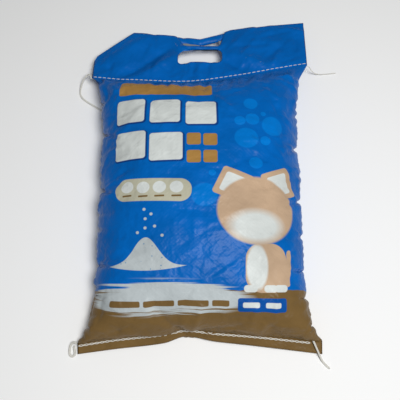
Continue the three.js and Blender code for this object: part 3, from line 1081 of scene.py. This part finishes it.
@dataclass
class Painter:
    """Lays flat shapes of ink on the cloth, over what is there already.

    Places and sizes are millimetres on the cloth: across from the left crease, and up
    from the bottom seam.
    """

    tree: Tree
    cloth: Socket
    colour: Socket
    edge: float = 0.35

    def lay(self, mask: Socket, ink: Ink, strength: float = 1.0) -> None:
        """Puts ink where the mask is 1."""
        if strength < 1:
            mask = maths(self.tree, "MULTIPLY", mask, strength)
        inputs = {"Factor": mask, 6: self.colour, 7: linear(ink.value)}
        self.colour = node(self.tree, "ShaderNodeMix", inputs, data_type="RGBA").outputs[2]

    def place(
        self, at: Place, turn: float, scale: tuple[float, float, float] = (1.0, 1.0, 1.0)
    ) -> Socket:
        """The place on the cloth measured from a point, along turned and scaled axes."""
        inputs = {
            "Vector": self.cloth,
            "Location": (at[0] * MM, at[1] * MM, 0),
            "Rotation": (0, 0, math.radians(turn)),
            "Scale": scale,
        }
        return node(self.tree, "ShaderNodeMapping", inputs, vector_type="TEXTURE").outputs[0]

    def within(self, far: Socket, radius: float, edge: float) -> Socket:
        """1 where a distance is less than the radius, fading over the edge."""
        return ramp(self.tree, far, radius - edge, radius + edge, 1.0, 0.0)

    def above(self, value: Socket) -> Socket:
        """1 where a value in metres is over 0, fading over a fine edge."""
        return ramp(self.tree, value, -0.3 * MM, 0.3 * MM)

    def oval(self, at: Place, size: Place, turn: float = 0.0, edge: float = 0.03) -> Socket:
        """The mask of an ellipse of those half widths.

        The distance is the length of the place divided by the half widths.
        """
        place = self.place(at, turn, (size[0] * MM, size[1] * MM, 1))
        return self.within(length(self.tree, place), 1.0, edge)

    def bar(self, at: Place, size: Place, radius: float = 1.0, turn: float = 0.0) -> Socket:
        """The mask of a rectangle of that full size with round corners.

        The distance is the length of whatever part of the place, made positive, is beyond
        the half size less the radius.
        """
        half = ((size[0] / 2 - radius) * MM, (size[1] / 2 - radius) * MM, 1)
        folded = vectors(self.tree, "ABSOLUTE", self.place(at, turn))
        outside = vectors(self.tree, "MAXIMUM", vectors(self.tree, "SUBTRACT", folded, half), (0, 0, 0))
        return self.within(length(self.tree, outside), radius * MM, self.edge * MM)


@dataclass(frozen=True)
class Laminate:
    """Woven polypropylene tape under a thin clear film, printed between the two.

    The film gives the eye its broken gloss, helped by painted sheen in patches of the colour's value, and the tapes
    a faint square grain.
    """

    name: str
    roughness: float = 0.34
    tape: float = 2.5
    grain: float = 0.05
    crackle: float = 3.0

    warp = 0.02
    wrinkles = ((26.0, 1.0), (11.0, 0.45), (5.0, 0.18))
    index = 1.49
    gloss = 0.10
    # Painted sheen: the range by which soft patches lighten and darken the colour, standing for the film's broken
    # reflections.
    painted_sheen = (0.86, 1.08)

    def bump(self, tree: Tree, cloth: Socket) -> Socket:
        """The normal of tape grain over film wrinkles.

        The wrinkles are the edges of irregular cells of three widths, pulled out of shape
        by a soft noise. The grain is a sine across the tapes times a sine along them.
        """
        offset = vectors(tree, "SUBTRACT", noise(tree, cloth, 28.0, "Color", Detail=3.0), (0.5, 0.5, 0.5))
        pulled = vectors(tree, "MULTIPLY_ADD", offset, (self.warp,) * 3, cloth)
        height: Socket | float = 0.0
        for cell, share in self.wrinkles:
            inputs = {"Vector": pulled, "Scale": 1 / (cell * MM), "Smoothness": 0.35}
            cells = node(tree, "ShaderNodeTexVoronoi", inputs, feature="SMOOTH_F1").outputs["Distance"]
            height = maths(tree, "MULTIPLY_ADD", cells, share, height)
        film = node(tree, "ShaderNodeBump", {"Height": height, "Strength": 0.6, "Distance": self.crackle * MM})
        split = node(tree, "ShaderNodeSeparateXYZ", {0: cloth}).outputs
        waves = [
            maths(tree, "SINE", maths(tree, "MULTIPLY", split[axis], math.pi / (self.tape * MM))) for axis in (0, 1)
        ]
        weave = maths(tree, "MULTIPLY", *waves)
        inputs = {"Height": weave, "Strength": 0.5, "Distance": self.grain * MM, "Normal": film.outputs[0]}
        return node(tree, "ShaderNodeBump", inputs).outputs[0]

    def make(self, paint: "Artwork | None", plain: str) -> bpy.types.Material:
        """Builds the material, printed with the artwork or left plain.

        Args:
            paint: What is printed, or None.
            plain: The colour of unprinted tape.

        Returns:
            The material.
        """
        material, tree, shader = new_material(self.name, self.roughness)
        cloth = node(tree, "ShaderNodeUVMap", uv_map="cloth").outputs[0]
        base = node(tree, "ShaderNodeRGB")
        base.outputs[0].default_value = linear(plain)
        painter = Painter(tree, cloth, base.outputs[0])
        if paint:
            paint.print_on(painter)
        # Painted sheen: a soft noise lightens and darkens the print in patches, as reflections on the film would.
        painted_sheen_value = ramp(tree, noise(tree, cloth, 24.0, Detail=5.0), 0.3, 0.7, *self.painted_sheen)
        coloured = node(tree, "ShaderNodeHueSaturation", {"Color": painter.colour, "Value": painted_sheen_value}).outputs[0]
        tree.links.new(coloured, shader.inputs["Base Color"])
        tree.links.new(self.bump(tree, cloth), shader.inputs["Normal"])
        shader.inputs["IOR"].default_value = self.index
        shader.inputs["Specular IOR Level"].default_value = self.gloss
        return material


@dataclass(frozen=True)
class Artwork:
    """The print: fields of colour and simple shapes, with plain bars where words would be."""

    ground_level = 88.0
    slogan = ((62, 36), (102, 36), (142, 36), (174, 20))
    title = ((62, 336, 38), (107, 333, 38), (152, 329, 38), (63, 282, 41), (109, 277, 41))
    gold_blocks = ((143, 287), (163, 286), (143, 261), (163, 261))
    discs = ((61.5, 221.5), (82, 219.5), (102, 219), (122.5, 218.5))
    heap_middle = 86.0
    heap_spread = 21.0
    heap_height = 36.0
    heap_level = 117.0
    foot_level = 111.0
    dots = ((84, 189.5), (92.5, 183), (85.5, 177), (97, 167), (85.5, 165), (76, 159.5), (106, 155))
    placard_bars = ((210, 20), (236, 18))
    paws = (209, 233, 246)
    ears = ((190, 222, -24), (249, 226, 24))
    bubbles = (
        (215, 344.5, 9.0), (200, 315.5, 7.0), (216, 319, 9.0), (230.5, 328.5, 3.4), (242.5, 311, 14.5),
        (207.5, 289.5, 15.0), (231.5, 287, 6.6), (218.5, 253.5, 8.5), (165, 237.5, 4.4), (155.5, 207.5, 15.5),
    )

    def ground(self, painter: Painter) -> None:
        """Blue above and tan below an uneven line, all round the sack."""
        tree = painter.tree
        up = node(tree, "ShaderNodeSeparateXYZ", {0: painter.cloth}).outputs[1]
        wander = maths(tree, "MULTIPLY_ADD", noise(tree, painter.cloth, 60.0), 4 * MM, up)
        level = self.ground_level * MM
        painter.lay(ramp(tree, wander, level - 0.3 * MM, level + 0.3 * MM, 1.0, 0.0), Ink.TAN)

    def stroke(self, painter: Painter) -> None:
        """A dry brush stroke, solid in the middle and streaky at its ends."""
        tree = painter.tree
        stretch = {"Vector": painter.cloth, "Scale": (7.0, 200.0, 1.0), "Rotation": (0, 0, math.radians(2))}
        hairs = noise(tree, node(tree, "ShaderNodeMapping", stretch).outputs[0], 1.0, Detail=4.0)
        body = painter.oval((104, 75), (84, 18), turn=-1, edge=0.6)
        dry = ramp(tree, maths(tree, "MULTIPLY_ADD", body, 0.34, hairs), 0.56, 0.62)
        near = painter.oval((104, 76), (104, 25), turn=-1, edge=0.1)
        painter.lay(maths(tree, "MULTIPLY", near, dry), Ink.GREY)
        for across, width in self.slogan:
            painter.lay(painter.bar((across, 69), (width, 8), radius=2), Ink.TAN)

    def heap(self, painter: Painter) -> None:
        """A heap of litter with specks, and grains falling on to it.

        Its crest is a bell curve, and its foot a shallow parabola.
        """
        tree = painter.tree
        across, up, _ = node(tree, "ShaderNodeSeparateXYZ", {0: painter.cloth}).outputs
        off = maths(tree, "SUBTRACT", across, self.heap_middle * MM)
        square = maths(tree, "POWER", off, 2.0)
        bell = maths(tree, "EXPONENT", maths(tree, "MULTIPLY", square, -1 / (self.heap_spread * MM) ** 2))
        crest = maths(tree, "MULTIPLY_ADD", bell, self.heap_height * MM, self.heap_level * MM)
        under = painter.above(maths(tree, "SUBTRACT", crest, up))
        foot = maths(tree, "MULTIPLY_ADD", square, 5 * MM / (44 * MM) ** 2, self.foot_level * MM)
        over = painter.above(maths(tree, "SUBTRACT", up, foot))
        whole = maths(tree, "MULTIPLY", over, under)
        painter.lay(whole, Ink.GREY)
        inputs = {"Vector": painter.cloth, "Scale": 170.0}
        grains = node(tree, "ShaderNodeTexVoronoi", inputs).outputs["Distance"]
        dark = ramp(tree, grains, 0.12, 0.18, 1.0, 0.0)
        painter.lay(maths(tree, "MULTIPLY", dark, whole), Ink.SPECK)
        for dot in self.dots:
            painter.lay(painter.oval(dot, (1.9, 1.9), edge=0.15), Ink.GREY)

    def words(self, painter: Painter) -> None:
        """Plain blocks and bars that stand where the words and badges would be."""
        painter.lay(painter.bar((106, 375), (122, 25), radius=3, turn=-2), Ink.GOLD)
        for across, up, size in self.title:
            painter.lay(painter.bar((across + 1.0, up - 1.2), (size + 3, size + 3), radius=5), Ink.NAVY)
            painter.lay(painter.bar((across, up), (size, size), radius=4), Ink.WHITE)
        for block in self.gold_blocks:
            painter.lay(painter.bar(block, (17, 18), radius=3), Ink.GOLD)
        painter.lay(painter.bar((93, 216), (95, 31), radius=14, turn=-3), Ink.CREAM)
        for across, up in self.discs:
            painter.lay(painter.oval((across, up), (8.0, 8.0), edge=0.05), Ink.WHITE)
            painter.lay(painter.bar((across, up - 12), (12, 2.4), radius=1), Ink.TAN)

    def placard(self, painter: Painter) -> None:
        """A small blue placard with plain bars."""
        painter.lay(painter.bar((223, 67), (58, 18), radius=3), Ink.PLACARD)
        for across, width in self.placard_bars:
            painter.lay(painter.bar((across, 67), (width, 7), radius=2), Ink.WHITE)

    def animal(self, painter: Painter) -> None:
        """A plain sitting animal in outline only, of ovals and blocks, with no face."""
        painter.lay(painter.bar((257, 114), (7, 48), radius=3.4, turn=-7), Ink.FUR)
        painter.lay(painter.bar((229, 114), (52, 62), radius=20), Ink.FUR)
        painter.lay(painter.oval((217, 115), (13, 28), edge=0.1), Ink.WHITE)
        for across in self.paws:
            painter.lay(painter.bar((across, 88), (16, 9), radius=4), Ink.WHITE)
        for across, up, turn in self.ears:
            painter.lay(painter.bar((across, up), (40, 40), radius=4, turn=turn), Ink.FUR)
            painter.lay(painter.bar((across, up), (27, 27), radius=3, turn=turn), Ink.WHITE)
        painter.lay(painter.oval((219, 188), (49, 45)), Ink.FUR)
        painter.lay(painter.oval((217, 167), (32, 20), edge=0.24), Ink.WHITE)

    def print_on(self, painter: Painter) -> None:
        """Lays the whole print, the ground first."""
        painter.lay(painter.bar((300, 200), (700, 700)), Ink.BLUE)
        for across, up, radius in self.bubbles:
            painter.lay(painter.oval((across, up), (radius, radius), edge=0.06), Ink.BUBBLE, 0.8)
        self.ground(painter)
        self.stroke(painter)
        self.heap(painter)
        self.words(painter)
        self.placard(painter)
        self.animal(painter)


@dataclass(frozen=True)
class Thread:
    """Spun polyester sewing thread: matt, off-white, slightly soiled where it has been handled."""

    colour: str = "dcdad2"
    roughness: float = 0.85

    def make(self) -> bpy.types.Material:
        """Builds the material: a soft noise in its value, and a fine fibre bump."""
        material, tree, shader = new_material("spun_polyester_thread", self.roughness)
        place = node(tree, "ShaderNodeTexCoord").outputs["Object"]
        value = ramp(tree, noise(tree, place, 90.0, Detail=3.0), 0.0, 1.0, 0.82, 1.08)
        inputs = {"Color": linear(self.colour), "Value": value}
        tinted = node(tree, "ShaderNodeHueSaturation", inputs).outputs[0]
        tree.links.new(tinted, shader.inputs["Base Color"])
        inputs = {"Height": noise(tree, place, 2400.0), "Strength": 0.4, "Distance": 0.1 * MM}
        tree.links.new(node(tree, "ShaderNodeBump", inputs).outputs[0], shader.inputs["Normal"])
        return material


# ---------------------------------------------------------------------------
# The studio
# ---------------------------------------------------------------------------


@dataclass(frozen=True)
class Studio:
    """A camera above the sack's foot, one large soft light overhead and a pale floor."""

    look_at: tuple[float, float, float] = (0.0, -32.5, 0.0)
    tilt: float = 20.0
    distance: float = 870.0
    lens: float = 58.5

    lamp_at: tuple[float, float, float] = (0.3, -0.4, 1.35)
    lamp_size: float = 0.5
    lamp_power: float = 17.0
    room: str = "f4f6f8"
    room_light: float = 0.17
    paper: str = "f8f8f7"
    floor_drop: float = 0.0004

    def camera(self) -> None:
        """Sets the scene's camera."""
        data = bpy.data.cameras.new("camera")
        data.lens = self.lens
        made = bpy.data.objects.new("camera", data)
        angle = math.radians(self.tilt)
        x, y, z = self.look_at
        made.location = (
            x * MM,
            (y - self.distance * math.sin(angle)) * MM,
            (z + self.distance * math.cos(angle)) * MM,
        )
        made.rotation_euler = (angle, 0, 0)
        bpy.context.scene.collection.objects.link(made)
        bpy.context.scene.camera = made

    def lamp(self) -> None:
        """Adds the light overhead, turned to the middle of the sack."""
        data = bpy.data.lights.new("overhead", "AREA")
        data.size = self.lamp_size
        data.energy = self.lamp_power
        made = bpy.data.objects.new("overhead", data)
        made.location = self.lamp_at
        x, y, z = self.lamp_at
        made.rotation_euler = (math.atan2(math.hypot(x, y), z), 0, math.atan2(y, x) + math.pi / 2)
        bpy.context.scene.collection.objects.link(made)

    def build(self) -> None:
        """Adds the light, the pale surroundings and the floor."""
        self.lamp()
        world = bpy.data.worlds.new("pale_room")
        world.use_nodes = True
        background = world.node_tree.nodes["Background"]
        background.inputs[0].default_value = linear(self.room)
        background.inputs[1].default_value = self.room_light
        bpy.context.scene.world = world
        bpy.context.scene.view_settings.view_transform = "Standard"
        bpy.ops.mesh.primitive_plane_add(size=6, location=(0, 0, -self.floor_drop))
        floor = bpy.context.object
        floor.name = "floor"
        paper, _, shader = new_material("white_paper", 0.9)
        shader.inputs["Base Color"].default_value = linear(self.paper)
        floor.data.materials.append(paper)


def main() -> None:
    """Builds the sack."""
    logging.basicConfig(level=logging.INFO, format="%(name)s: %(message)s")
    studio = Studio()
    studio.camera()
    thread = Thread().make()
    for tail in TAILS:
        declare(tail.make(), thread, tail.node)

    pattern = Pattern()
    loose = LooseCloth(pattern)
    for row in ROWS:
        declare(row.make(loose), thread, row.node)

    sack = Sack(pattern, loose).make(FilledCloth(pattern).fill())
    printed = Laminate("printed_laminated_tape").make(Artwork(), Ink.BLUE.value)
    declare(sack, printed, "bag")
    # The bare inside: the tape's own colour darkened with painted shade.
    sack.data.materials.append(Laminate("bare_woven_tape_with_painted_shade", roughness=0.6, crackle=0.5).make(None, Ink.BARE_WITH_PAINTED_SHADE.value))
    declare(FoldedCorner(loose).make(), printed, "bag")

    studio.build()


if __name__ == "__main__":
    main()
